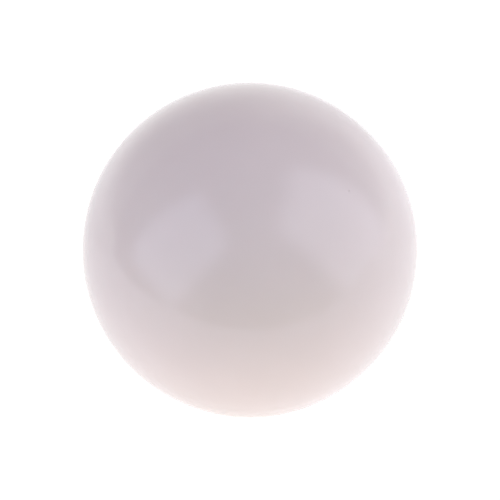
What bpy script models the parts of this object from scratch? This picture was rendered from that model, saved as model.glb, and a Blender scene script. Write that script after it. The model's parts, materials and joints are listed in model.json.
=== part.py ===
"""White cue ball for a coin-operated pool table: a resin casing cast round an iron core.

The core hangs on a resin pin in the middle of the mould while the casing is poured round it.
The pin stays in the ball, and its outer end is ground flush with the polished surface underneath.

Units are metres and +Z is up. The origin is the centre of the ball.
"""

import math

import bpy

# Driving dimensions
BALL_DIAMETER = 0.05715  # 2 1/4 in, the pool standard
CORE_DIAMETER = 0.020
PIN_DIAMETER = 0.006
SOCKET_DEPTH = 0.005  # from the core's own round outline to the floor of its socket
PIN_CHAMFER = 0.0006  # lead-in at the pin's inner end
BOND_LINE = 0.0003  # gap between two bonded faces

# Fineness of the facets
TURN_STEPS = 72  # facets in one turn about the vertical axis
BALL_ARC_STEP = math.radians(5)
CORE_ARC_STEP = math.radians(9)

# Sizes that follow from the driving dimensions
BALL_RADIUS = BALL_DIAMETER / 2
CORE_RADIUS = CORE_DIAMETER / 2
PIN_RADIUS = PIN_DIAMETER / 2
CAVITY_RADIUS = CORE_RADIUS + BOND_LINE
HOLE_RADIUS = PIN_RADIUS + BOND_LINE
SOCKET_FLOOR = SOCKET_DEPTH - CORE_RADIUS
PIN_TOP = SOCKET_FLOOR - BOND_LINE

# Angles along a round profile are measured from the top of its sphere
TOP, EQUATOR, BOTTOM = 0.0, math.pi / 2, math.pi

WELD_DISTANCE = BOND_LINE / 30  # joins the two ends of a turn, and stays far finer than a bond line
SHARP_ANGLE = math.radians(30)


def clear_scene():
    """Removes every object of the scene that the script starts in."""
    for obj in list(bpy.data.objects):
        bpy.data.objects.remove(obj)


def make_material(name, colour, roughness, metallic):
    """A Principled BSDF material of one plain finish."""
    material = bpy.data.materials.new(name)
    material.use_nodes = True
    shader = material.node_tree.nodes["Principled BSDF"]
    shader.inputs["Base Color"].default_value = (*colour, 1.0)
    shader.inputs["Roughness"].default_value = roughness
    shader.inputs["Metallic"].default_value = metallic
    return material


def rim_angle(sphere_radius, rim_radius):
    """Angle from the top at which a sphere meets a round rim of this radius underneath."""
    return BOTTOM - math.asin(rim_radius / sphere_radius)


def arc(radius, start, end, widest_step):
    """Points (distance from the axis, height) along a sphere's outline, from one angle to another."""
    steps = max(2, math.ceil((end - start) / widest_step))
    angles = [start + (end - start) * step / steps for step in range(steps + 1)]
    return [(radius * math.sin(angle), radius * math.cos(angle)) for angle in angles]


def bored_sphere(radius, hole_radius, widest_step):
    """Points down a sphere's outline, from its top past its equator to the rim of a hole underneath."""
    upper = arc(radius, TOP, EQUATOR, widest_step)
    lower = arc(radius, EQUATOR, rim_angle(radius, hole_radius), widest_step)
    return upper + lower[1:]


def turn(name, profile, material, collection, parent):
    """One object: a profile of (distance from the axis, height) points turned about the vertical axis."""
    mesh = bpy.data.meshes.new(name)
    points = [(distance, 0.0, height) for distance, height in profile]
    edges = [(index, index + 1) for index in range(len(points) - 1)]
    mesh.from_pydata(points, edges, [])
    obj = bpy.data.objects.new(name, mesh)
    collection.objects.link(obj)
    obj.parent = parent

    screw = obj.modifiers.new("Turn", "SCREW")
    screw.axis = "Z"
    screw.angle = 2 * math.pi
    screw.steps = screw.render_steps = TURN_STEPS
    screw.use_merge_vertices = True
    screw.merge_threshold = WELD_DISTANCE

    graph = bpy.context.evaluated_depsgraph_get()
    turned = bpy.data.meshes.new_from_object(obj.evaluated_get(graph))
    obj.modifiers.clear()
    obj.data = turned
    bpy.data.meshes.remove(mesh)
    turned.name = name
    turned.shade_smooth()
    turned.set_sharp_from_angle(angle=SHARP_ANGLE)
    turned.materials.append(material)
    return obj


def casing_profile():
    """Down the polished outside, up the wall of the pin's hole, and round the core's cavity to its top."""
    outside = bored_sphere(BALL_RADIUS, HOLE_RADIUS, BALL_ARC_STEP)
    cavity = bored_sphere(CAVITY_RADIUS, HOLE_RADIUS, CORE_ARC_STEP)
    return outside + cavity[::-1]


def core_profile():
    """Down the outside of the core, up the wall of its socket, and in along the socket's floor."""
    outside = bored_sphere(CORE_RADIUS, HOLE_RADIUS, CORE_ARC_STEP)
    socket = [(HOLE_RADIUS, SOCKET_FLOOR), (0.0, SOCKET_FLOOR)]
    return outside + socket


def pin_profile():
    """Out along the chamfered inner end, down the side, and in along the end ground flush with the ball."""
    inner_end = [
        (0.0, PIN_TOP),
        (PIN_RADIUS - PIN_CHAMFER, PIN_TOP),
        (PIN_RADIUS, PIN_TOP - PIN_CHAMFER),
    ]
    outer_end = arc(BALL_RADIUS, rim_angle(BALL_RADIUS, PIN_RADIUS), BOTTOM, BALL_ARC_STEP)
    return inner_end + outer_end


def build_ball():
    """The casing, the core and the pin, all carried by one empty at the centre of the ball."""
    collection = bpy.data.collections.new("billiard_ball")
    bpy.context.scene.collection.children.link(collection)
    centre = bpy.data.objects.new("ball_centre", None)
    collection.objects.link(centre)

    white_resin = make_material("white_resin", (0.76, 0.69, 0.70), roughness=0.20, metallic=0.0)
    pin_resin = make_material("pin_resin", (0.74, 0.68, 0.68), roughness=0.20, metallic=0.0)
    grey_iron = make_material("grey_iron", (0.30, 0.29, 0.28), roughness=0.45, metallic=1.0)

    turn("ball_casing", casing_profile(), white_resin, collection, centre)
    turn("iron_core", core_profile(), grey_iron, collection, centre)
    turn("locating_pin", pin_profile(), pin_resin, collection, centre)


clear_scene()
build_ball()
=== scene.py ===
"""Looks of the white billiard ball: the polished casing, the pin's flush end and the core inside.

Everything is in metres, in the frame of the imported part: +Z is up, and the camera looks along +Y.
"""

import json
import math

import bmesh
import bpy
from mathutils import Euler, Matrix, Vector
from mathutils.geometry import intersect_line_sphere


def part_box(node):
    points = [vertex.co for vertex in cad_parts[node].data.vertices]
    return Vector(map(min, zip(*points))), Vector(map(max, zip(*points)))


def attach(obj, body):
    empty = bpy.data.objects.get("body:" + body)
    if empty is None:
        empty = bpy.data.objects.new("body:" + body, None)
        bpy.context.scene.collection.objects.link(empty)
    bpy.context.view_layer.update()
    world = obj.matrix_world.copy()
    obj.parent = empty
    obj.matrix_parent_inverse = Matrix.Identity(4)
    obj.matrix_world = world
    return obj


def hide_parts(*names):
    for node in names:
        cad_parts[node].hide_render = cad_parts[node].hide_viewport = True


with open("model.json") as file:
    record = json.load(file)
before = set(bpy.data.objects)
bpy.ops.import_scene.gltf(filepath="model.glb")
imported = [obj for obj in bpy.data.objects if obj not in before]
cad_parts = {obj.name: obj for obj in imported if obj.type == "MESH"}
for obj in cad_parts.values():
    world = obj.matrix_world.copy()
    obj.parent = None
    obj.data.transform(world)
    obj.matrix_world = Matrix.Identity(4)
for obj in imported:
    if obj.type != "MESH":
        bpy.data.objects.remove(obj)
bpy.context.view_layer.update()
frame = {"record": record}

# Sizes read from the frame
casing_low, casing_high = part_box("ball_casing")
core_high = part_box("iron_core")[1]
pin_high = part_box("locating_pin")[1]
BALL_RADIUS = casing_high.z
CORE_RADIUS = core_high.z
HOLE_RADIUS = math.sqrt(BALL_RADIUS ** 2 - casing_low.z ** 2)
BOND_LINE = HOLE_RADIUS - pin_high.x
CAVITY_RADIUS = CORE_RADIUS + BOND_LINE
PIN_TOP = pin_high.z
SOCKET_FLOOR = PIN_TOP + BOND_LINE
TABLE_HEIGHT = frame["record"]["mounts"][0]["pos_m"][2]

# Finish of the shapes
HAIRLINE = 0.00003  # seam that shows round the pin's ground end
SEAM_EDGE = 0.00004  # polish that has run into the seam
PIN_CHAMFER = 0.0006
SOCKET_EDGE = 0.00025
PIN_RADIUS = HOLE_RADIUS - HAIRLINE
TOUCHING = 0.00001  # points nearer than this lie in the same place
DOUBLED = TOUCHING / 100  # points nearer than this are one point
FACET_SLACK = 0.0001  # facets draw a rim in by less than this
ROUND_SEGMENTS = 192
BALL_RINGS = 128
INNER_RINGS = 60
EDGE_STEPS = 3
SHARP_ANGLE = math.radians(30)

# Camera
LENS = 150.0  # mm
SENSOR = 36.0  # mm
NEAREST = 0.01
FRAME_PIXELS = 500
BALL_PIXELS = 167.4  # radius of the ball in the picture
CAMERA_TILT = Euler((math.radians(85), 0, 0))  # five degrees down from level
PIXELS_PER_SLOPE = LENS / SENSOR * FRAME_PIXELS
CAMERA_DISTANCE = BALL_RADIUS / math.sin(math.atan(BALL_PIXELS / PIXELS_PER_SLOPE))
CAMERA_PLACE = CAMERA_TILT.to_matrix() @ Vector((0, 0, CAMERA_DISTANCE))

# White resin
CASING_LIGHT = (0.77, 0.70, 0.71)
CASING_DARK = (0.75, 0.68, 0.69)
PIN_LIGHT = (0.75, 0.69, 0.69)
PIN_DARK = (0.72, 0.66, 0.66)
CLOUDS = 70  # in a metre
SMEARS = 160  # in a metre
CLEAREST = 0.11  # roughness of the polish
DULLEST = 0.13
RESIN_IOR = 1.55
DEPTH_SHARE = 0.25  # of the light that goes below the surface
DEPTH_TINT = (1.0, 0.85, 0.85)
LIGHT_DEPTH = 0.0015

# The pinhole in the casing
PINHOLE_PIXEL = (349, 191)  # from the left and from the top of the picture
PINHOLE_RADIUS = 0.0001  # of its floor
PINHOLE_EDGE = 0.00027  # this far from its middle the surface is whole again
PINHOLE_SHADE = 0.93  # share of the resin's tone that its floor has
PINHOLE_DEPTH = 0.00004

# Cast iron
IRON_DARK = (0.22, 0.21, 0.20)
IRON_LIGHT = (0.38, 0.37, 0.36)
GRAINS = 900  # in a metre
GRAIN_DEPTH = 0.0001
SMOOTHEST_GRAIN = 0.38
ROUGHEST_GRAIN = 0.55

# A noise texture keeps mostly between these two values
NOISE_LOW = 0.3
NOISE_HIGH = 0.7

# Shape of the white paper, with places from the centre of the ball
PAPER_FRONT = -0.042  # fold over the front of the table
PAPER_BACK = 0.6
PAPER_LEFT = -1.6
PAPER_RIGHT = 2.4
SHEET_LEFT = -2.6  # behind the table the paper reaches further
PAPER_RISE = 3.0  # up from the table
PAPER_DROP = 0.4  # down from the table
PAPER_BEND = 0.1
BEND_STEPS = 12
CORNER_START = -0.05  # where the fold turns back on the left
CORNER_RUN = 0.52  # how far back it has run at the left edge

# Light of the white paper, with heights from the centre of the ball
PAPER_COLOUR = (0.50, 0.515, 0.56)
NEAR_GLOW = (0.841, 0.737, 0.524)  # what the front of the paper throws on the ball
FAR_GLOW = (0.884, 0.869, 0.814)  # what the rest throws, and what is seen all over
WHITE_FROM = 0.005  # from here back the paper throws what is seen
GLOW_MIDDLE = 0.3  # across the paper, where the glow reaches highest
SIDE_FADE = 3.6  # how many times more a height counts for each metre to the side
LOW_SHARE = 0.83  # of the full glow, up to the low height
LOW_HEIGHT = 0.3
FULL_FROM = 0.6  # the glow is full between these two heights
FULL_TO = 1.0
FADED_SHARE = 0.47  # of the full glow, from the faded height up
FADED_HEIGHT = 3.2

# Dim room round the table
FLOOR_GLOW = (0.468, 0.48, 0.318)
WALL_GLOW = (0.36, 0.321, 0.314)
FLOOR_TOP = -0.65  # below this height, on a sphere of radius one, the room has the floor's tone
WALL_FOOT = 0.05  # and above this one the walls' tone

# Softboxes
LAMP_DISTANCE = 0.6
LAMP_POWER = 4.0  # watts that a square metre of lamp takes for a glow of one
LAMP_MIDDLE = 0.5  # of the way across a softbox
LAMP_FADE = 0.27  # of the way across, over which the light rises from an edge to its full level
LEFT_GLOW = (0.89, 0.935, 1.185)
RIGHT_GLOW = (0.925, 0.95, 1.11)


def rim_height(sphere_radius, rim_radius):
    """Height of the round rim of this radius on the lower half of a sphere."""
    return -math.sqrt(sphere_radius ** 2 - rim_radius ** 2)


def start_sphere(name, radius, rings):
    """A fine sphere about the ball's centre, in edit mode with all of it selected."""
    bpy.ops.object.select_all(action="DESELECT")
    bpy.ops.mesh.primitive_uv_sphere_add(segments=ROUND_SEGMENTS, ring_count=rings, radius=radius)
    sphere = bpy.context.object
    sphere.name = name
    sphere.data.name = name
    bpy.ops.object.mode_set(mode="EDIT")
    bpy.ops.mesh.select_mode(type="EDGE")
    bpy.ops.mesh.select_all(action="SELECT")
    return sphere


def bore_underside(height):
    """Cuts off the shape below a height, which leaves the new rim selected."""
    bpy.ops.mesh.bisect(
        plane_co=(0, 0, height), plane_no=(0, 0, 1), clear_inner=True, threshold=DOUBLED
    )


def keep_underside(height):
    """Cuts off the shape above a height, which leaves the new rim selected."""
    bpy.ops.mesh.bisect(
        plane_co=(0, 0, height), plane_no=(0, 0, 1), clear_outer=True, threshold=DOUBLED
    )


def draw_rim_up(distance):
    """Extrudes the selected rim straight up into a wall."""
    bpy.ops.mesh.extrude_region_move(TRANSFORM_OT_translate={"value": (0, 0, distance)})


def close_rim():
    """Closes the selected rim with a flat face, split into a fan about its middle."""
    bpy.ops.mesh.edge_face_add()
    bpy.ops.mesh.poke()


def select_edges(belongs):
    """Selects only the edges whose two ends both belong."""
    bpy.ops.mesh.select_all(action="DESELECT")
    mesh = bmesh.from_edit_mesh(bpy.context.object.data)
    for edge in mesh.edges:
        edge.select_set(all(belongs(point.co) for point in edge.verts))
    bmesh.update_edit_mesh(bpy.context.object.data)


def same(a, b):
    """Whether two places are as good as one."""
    return abs(a - b) < TOUCHING


def select_rim(height, radius):
    """Selects only the edges of the round rim at this height and about this radius."""
    select_edges(lambda place: same(place.z, height) and abs(place.xy.length - radius) < FACET_SLACK)


def point_outwards(obj):
    """Joins doubled points and points all the faces of a closed shape outwards."""
    bpy.ops.mesh.select_all(action="SELECT")
    bpy.ops.mesh.remove_doubles(threshold=DOUBLED)
    bpy.ops.mesh.normals_make_consistent(inside=False)
    if bmesh.from_edit_mesh(obj.data).calc_volume(signed=True) < 0:
        bpy.ops.mesh.flip_normals()


def break_rim(obj, height, radius, width):
    """Rounds the edge of one round rim of a closed shape."""
    point_outwards(obj)
    select_rim(height, radius)
    bpy.ops.mesh.bevel(offset=width, segments=EDGE_STEPS, affect="EDGES")


def finish_shape(obj):
    """Points the faces outwards, leaves edit mode and shades the round faces smooth."""
    point_outwards(obj)
    bpy.ops.object.mode_set(mode="OBJECT")
    bpy.ops.object.shade_smooth_by_angle(angle=SHARP_ANGLE)
    return obj


def model_casing():
    """The polished ball, with the hole for the pin and the cavity that the core lies in."""
    cavity = start_sphere("casing_cavity", CAVITY_RADIUS, INNER_RINGS)
    bore_underside(rim_height(CAVITY_RADIUS, HOLE_RADIUS))
    bpy.ops.object.mode_set(mode="OBJECT")

    casing = start_sphere("polished_casing", BALL_RADIUS, BALL_RINGS)
    bore_underside(rim_height(BALL_RADIUS, HOLE_RADIUS))
    bpy.ops.object.mode_set(mode="OBJECT")

    cavity.select_set(True)
    bpy.ops.object.join()
    bpy.ops.object.mode_set(mode="EDIT")
    bpy.ops.mesh.select_all(action="DESELECT")
    bpy.ops.mesh.select_non_manifold()
    bpy.ops.mesh.bridge_edge_loops()
    break_rim(casing, rim_height(BALL_RADIUS, HOLE_RADIUS), HOLE_RADIUS, SEAM_EDGE)
    return finish_shape(casing)


def model_pin():
    """The locating pin, ground to the ball's curve outside and with a broken edge inside."""
    foot = rim_height(BALL_RADIUS, PIN_RADIUS)
    pin = start_sphere("flush_pin", BALL_RADIUS, BALL_RINGS)
    keep_underside(foot)
    draw_rim_up(PIN_TOP - foot)
    bpy.ops.mesh.edge_face_add()
    break_rim(pin, PIN_TOP, PIN_RADIUS, PIN_CHAMFER)
    break_rim(pin, foot, PIN_RADIUS, SEAM_EDGE)
    return finish_shape(pin)


def model_core():
    """The iron core, with the socket that takes the pin."""
    mouth = rim_height(CORE_RADIUS, HOLE_RADIUS)
    core = start_sphere("cast_core", CORE_RADIUS, INNER_RINGS)
    bore_underside(mouth)
    draw_rim_up(SOCKET_FLOOR - mouth)
    close_rim()
    break_rim(core, mouth, HOLE_RADIUS, SOCKET_EDGE)
    return finish_shape(core)


def new_material(name):
    """A material with its shader, and the output that gives the piece's own coordinates."""
    material = bpy.data.materials.new(name)
    material.use_nodes = True
    nodes = material.node_tree.nodes
    shader = nodes["Principled BSDF"]
    coordinates = nodes.new("ShaderNodeTexCoord").outputs["Object"]
    return material, shader, coordinates


def add_noise(owner, coordinates, scale, detail):
    """A noise texture on these coordinates."""
    noise = owner.node_tree.nodes.new("ShaderNodeTexNoise")
    noise.inputs["Scale"].default_value = scale
    noise.inputs["Detail"].default_value = detail
    owner.node_tree.links.new(coordinates, noise.inputs["Vector"])
    return noise.outputs["Fac"]


def add_ramp(owner, factor, low, low_colour, high, high_colour):
    """A colour ramp from one colour to another."""
    ramp = owner.node_tree.nodes.new("ShaderNodeValToRGB")
    first, last = ramp.color_ramp.elements
    first.position = low
    first.color = (*low_colour, 1.0)
    last.position = high
    last.color = (*high_colour, 1.0)
    owner.node_tree.links.new(factor, ramp.inputs["Fac"])
    return ramp.outputs["Color"]


def add_range(owner, value, low, high, new_low, new_high, kind="LINEAR"):
    """Spreads a value from one range onto another."""
    spread = owner.node_tree.nodes.new("ShaderNodeMapRange")
    spread.interpolation_type = kind
    spread.inputs["From Min"].default_value = low
    spread.inputs["From Max"].default_value = high
    spread.inputs["To Min"].default_value = new_low
    spread.inputs["To Max"].default_value = new_high
    owner.node_tree.links.new(value, spread.inputs["Value"])
    return spread.outputs["Result"]


def add_sum(owner, operation, *values):
    """A sum on values, each of them a plain number or the output of another node."""
    node = owner.node_tree.nodes.new("ShaderNodeMath")
    node.operation = operation
    for socket, value in zip(node.inputs, values):
        if isinstance(value, bpy.types.NodeSocket):
            owner.node_tree.links.new(value, socket)
        else:
            socket.default_value = value
    return node.outputs["Value"]


def add_axes(owner, coordinates):
    """The coordinates one by one, by the names of their axes."""
    axes = owner.node_tree.nodes.new("ShaderNodeSeparateXYZ")
    owner.node_tree.links.new(coordinates, axes.inputs["Vector"])
    return axes.outputs


def add_relief(owner, height, depth, invert=False):
    """A normal that raises the surface by a height from 0 to 1, or that sinks it."""
    relief = owner.node_tree.nodes.new("ShaderNodeBump")
    relief.invert = invert
    relief.inputs["Distance"].default_value = depth
    owner.node_tree.links.new(height, relief.inputs["Height"])
    return relief.outputs["Normal"]


def white_resin(name, light, dark):
    """Polished casting resin: white, with the faintest clouding and smears."""
    material, shader, coordinates = new_material(name)
    links = material.node_tree.links
    clouds = add_noise(material, coordinates, CLOUDS, detail=4)
    tones = add_ramp(material, clouds, NOISE_LOW, dark, NOISE_HIGH, light)
    links.new(tones, shader.inputs["Base Color"])
    smears = add_noise(material, coordinates, SMEARS, detail=5)
    polish = add_range(material, smears, NOISE_LOW, NOISE_HIGH, CLEAREST, DULLEST)
    links.new(polish, shader.inputs["Roughness"])
    shader.inputs["IOR"].default_value = RESIN_IOR
    shader.inputs["Subsurface Weight"].default_value = DEPTH_SHARE
    shader.inputs["Subsurface Radius"].default_value = DEPTH_TINT
    shader.inputs["Subsurface Scale"].default_value = LIGHT_DEPTH
    return material


def place_in_picture(pixel):
    """The place on the ball that the picture shows at this pixel."""
    across, down = pixel
    middle = FRAME_PIXELS / 2
    ray = Vector(((across - middle) / PIXELS_PER_SLOPE, (middle - down) / PIXELS_PER_SLOPE, -1))
    ahead = CAMERA_PLACE + CAMERA_TILT.to_matrix() @ ray
    hits = intersect_line_sphere(CAMERA_PLACE, ahead, Vector(), BALL_RADIUS, False)
    return min(hits, key=lambda hit: (hit - CAMERA_PLACE).length)


def mark_pinhole(material, place):
    """Darkens the resin at one place and dents it there."""
    nodes, links = material.node_tree.nodes, material.node_tree.links
    shader = nodes["Principled BSDF"]
    away = nodes.new("ShaderNodeVectorMath")
    away.operation = "DISTANCE"
    away.inputs[1].default_value = place
    links.new(nodes["Texture Coordinate"].outputs["Object"], away.inputs[0])
    distance = away.outputs["Value"]
    pit = add_range(material, distance, PINHOLE_RADIUS, PINHOLE_EDGE, 1.0, 0.0, "SMOOTHSTEP")
    shaded = nodes.new("ShaderNodeVectorMath")
    shaded.operation = "SCALE"
    links.new(shader.inputs["Base Color"].links[0].from_socket, shaded.inputs["Vector"])
    links.new(add_range(material, pit, 0.0, 1.0, 1.0, PINHOLE_SHADE), shaded.inputs["Scale"])
    links.new(shaded.outputs["Vector"], shader.inputs["Base Color"])
    links.new(add_relief(material, pit, PINHOLE_DEPTH, invert=True), shader.inputs["Normal"])


def grey_iron():
    """Cast iron: dark grey and a little coarse."""
    material, shader, coordinates = new_material("grey_iron")
    links = material.node_tree.links
    grain = add_noise(material, coordinates, GRAINS, detail=6)
    tones = add_ramp(material, grain, NOISE_LOW, IRON_DARK, NOISE_HIGH, IRON_LIGHT)
    links.new(tones, shader.inputs["Base Color"])
    coarse = add_range(material, grain, NOISE_LOW, NOISE_HIGH, SMOOTHEST_GRAIN, ROUGHEST_GRAIN)
    links.new(coarse, shader.inputs["Roughness"])
    links.new(add_relief(material, grain, GRAIN_DEPTH), shader.inputs["Normal"])
    shader.inputs["Metallic"].default_value = 1.0
    return material


def dress(piece, material, node):
    """Gives a piece its finish, and sets it in the frame in place of its plain node."""
    piece.data.materials.clear()
    piece.data.materials.append(material)
    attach(piece, "root")
    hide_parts(node)


def lit_paper():
    """White paper with a glow painted into its material, as if lit from behind, less so towards its
    top and its sides.

    The front of it throws a warmer light on the ball than the camera and the polish see.
    """
    material, shader, coordinates = new_material("lit_paper")
    links = material.node_tree.links
    axes = add_axes(material, coordinates)
    depth = add_range(material, axes["Y"], PAPER_FRONT, WHITE_FROM, 0.0, 1.0)
    rays = material.node_tree.nodes.new("ShaderNodeLightPath").outputs
    mirrored = add_sum(material, "MAXIMUM", rays["Is Glossy Ray"], rays["Is Transmission Ray"])
    seen = add_sum(material, "MAXIMUM", rays["Is Camera Ray"], mirrored)
    whiteness = add_sum(material, "MAXIMUM", depth, seen)
    glow = add_ramp(material, whiteness, 0.0, NEAR_GLOW, 1.0, FAR_GLOW)
    links.new(glow, shader.inputs["Emission Color"])

    from_middle = add_sum(material, "SUBTRACT", axes["X"], GLOW_MIDDLE)
    aside = add_sum(material, "ABSOLUTE", from_middle)
    sooner = add_sum(material, "MULTIPLY_ADD", aside, SIDE_FADE, 1.0)
    height = add_sum(material, "MULTIPLY", sooner, axes["Z"])
    rise = add_range(material, height, LOW_HEIGHT, FULL_FROM, LOW_SHARE, 1.0)
    fade = add_range(material, height, FULL_TO, FADED_HEIGHT, 1.0, FADED_SHARE)
    links.new(add_sum(material, "MULTIPLY", rise, fade), shader.inputs["Emission Strength"])

    shader.inputs["Base Color"].default_value = (*PAPER_COLOUR, 1.0)
    shader.inputs["Roughness"].default_value = 1.0
    shader.inputs["Specular IOR Level"].default_value = 0.0
    return material


def draw_edges(move):
    """Extrudes the selected edges into a flat wall."""
    bpy.ops.mesh.extrude_edges_move(TRANSFORM_OT_translate={"value": move})


def lay_paper():
    """The flat part of the paper, in edit mode, with its front left corner cut back."""
    width = PAPER_RIGHT - PAPER_LEFT
    bpy.ops.object.select_all(action="DESELECT")
    bpy.ops.mesh.primitive_plane_add(
        size=width, location=((PAPER_LEFT + PAPER_RIGHT) / 2, PAPER_BACK - width / 2, TABLE_HEIGHT)
    )
    bpy.ops.object.transform_apply(location=True)
    paper = bpy.context.object
    paper.name = "paper_floor"
    bpy.ops.object.mode_set(mode="EDIT")
    bpy.ops.mesh.select_mode(type="EDGE")
    bpy.ops.mesh.select_all(action="SELECT")
    bpy.ops.mesh.bisect(plane_co=(0, PAPER_FRONT, 0), plane_no=(0, 1, 0), clear_inner=True)
    bpy.ops.mesh.select_all(action="SELECT")
    bpy.ops.mesh.bisect(plane_co=(CORNER_START, 0, 0), plane_no=(1, 0, 0))

    bpy.ops.mesh.select_mode(type="VERT")
    bpy.ops.mesh.select_all(action="DESELECT")
    mesh = bmesh.from_edit_mesh(paper.data)
    for point in mesh.verts:
        point.select_set(same(point.co.x, PAPER_LEFT) and same(point.co.y, PAPER_FRONT))
    bmesh.update_edit_mesh(paper.data)
    bpy.ops.transform.translate(value=(0, CORNER_RUN, 0))
    return paper


def fold_paper():
    """Hangs the flat paper over the front of the table, and raises it in a bend behind."""
    bpy.ops.mesh.select_mode(type="EDGE")
    select_edges(lambda place: place.y < PAPER_BACK - TOUCHING)
    draw_edges((0, 0, -PAPER_DROP))
    select_edges(lambda place: same(place.y, PAPER_BACK))
    draw_edges((0, 0, PAPER_RISE))
    select_edges(lambda place: same(place.x, PAPER_LEFT) and same(place.y, PAPER_BACK))
    bpy.ops.transform.translate(value=(SHEET_LEFT - PAPER_LEFT, 0, 0))
    select_edges(lambda place: same(place.y, PAPER_BACK) and same(place.z, TABLE_HEIGHT))
    bpy.ops.mesh.bevel(offset=PAPER_BEND, segments=BEND_STEPS, affect="EDGES")


def model_paper():
    """Paper that hangs over the front of a table, lies under the ball and rises behind it."""
    paper = lay_paper()
    fold_paper()
    bpy.ops.object.mode_set(mode="OBJECT")
    paper.data.materials.append(lit_paper())


def fade_to_edges(light):
    """Lets a softbox's light fade from its middle to its edges."""
    light.use_nodes = True
    nodes, links = light.node_tree.nodes, light.node_tree.links
    axes = add_axes(light, nodes.new("ShaderNodeNewGeometry").outputs["Parametric"])
    fades = []
    for axis in "XY":
        from_edge = add_sum(light, "PINGPONG", axes[axis], LAMP_MIDDLE)
        fades.append(add_range(light, from_edge, 0.0, LAMP_FADE, 0.0, 1.0, "SMOOTHSTEP"))
    links.new(add_sum(light, "MULTIPLY", *fades), nodes["Emission"].inputs["Strength"])


def add_softbox(name, azimuth, elevation, width, height, roll, glow):
    """A soft lamp that faces the ball. Azimuth is from the camera towards its right."""
    light = bpy.data.lights.new(name, "AREA")
    light.shape = "RECTANGLE"
    light.size = width
    light.size_y = height
    level = max(glow)
    light.color = [part / level for part in glow]
    light.energy = LAMP_POWER * width * height * level
    fade_to_edges(light)
    lamp = bpy.data.objects.new(name, light)
    bpy.context.scene.collection.objects.link(lamp)
    turn = math.radians(azimuth)
    lift = math.radians(elevation)
    along = math.cos(lift)
    towards = Vector((math.sin(turn) * along, -math.cos(turn) * along, math.sin(lift)))
    lamp.location = towards * LAMP_DISTANCE
    facing = towards.to_track_quat("Z", "Y")
    lamp.rotation_euler = (facing @ Euler((0, 0, math.radians(roll))).to_quaternion()).to_euler()
    lamp.visible_camera = False


def light_room():
    """A plain dim room, with a warm floor and darker walls."""
    world = bpy.data.worlds.new("room")
    bpy.context.scene.world = world
    world.use_nodes = True
    nodes, links = world.node_tree.nodes, world.node_tree.links
    axes = add_axes(world, nodes.new("ShaderNodeTexCoord").outputs["Generated"])
    height = add_range(world, axes["Z"], FLOOR_TOP, WALL_FOOT, 0.0, 1.0)
    tones = add_ramp(world, height, 0.0, FLOOR_GLOW, 1.0, WALL_GLOW)
    links.new(tones, nodes["Background"].inputs["Color"])


def place_camera():
    """A long lens in front of the ball, a little above it."""
    camera = bpy.data.objects.new("camera", bpy.data.cameras.new("camera"))
    bpy.context.scene.collection.objects.link(camera)
    camera.data.lens = LENS
    camera.data.sensor_width = SENSOR
    camera.data.clip_start = NEAREST
    camera.location = CAMERA_PLACE
    camera.rotation_euler = CAMERA_TILT
    bpy.context.scene.camera = camera


casing_finish = white_resin("white_resin", CASING_LIGHT, CASING_DARK)
mark_pinhole(casing_finish, place_in_picture(PINHOLE_PIXEL))
pin_finish = white_resin("pin_resin", PIN_LIGHT, PIN_DARK)
dress(model_casing(), casing_finish, "ball_casing")
dress(model_pin(), pin_finish, "locating_pin")
dress(model_core(), grey_iron(), "iron_core")
model_paper()
add_softbox(
    "left_softbox", azimuth=-49, elevation=5, width=0.73, height=0.96, roll=-47, glow=LEFT_GLOW
)
add_softbox(
    "right_softbox", azimuth=63, elevation=16, width=1.26, height=0.86, roll=-41, glow=RIGHT_GLOW
)
light_room()
place_camera()
bpy.context.scene.view_settings.view_transform = "Standard"
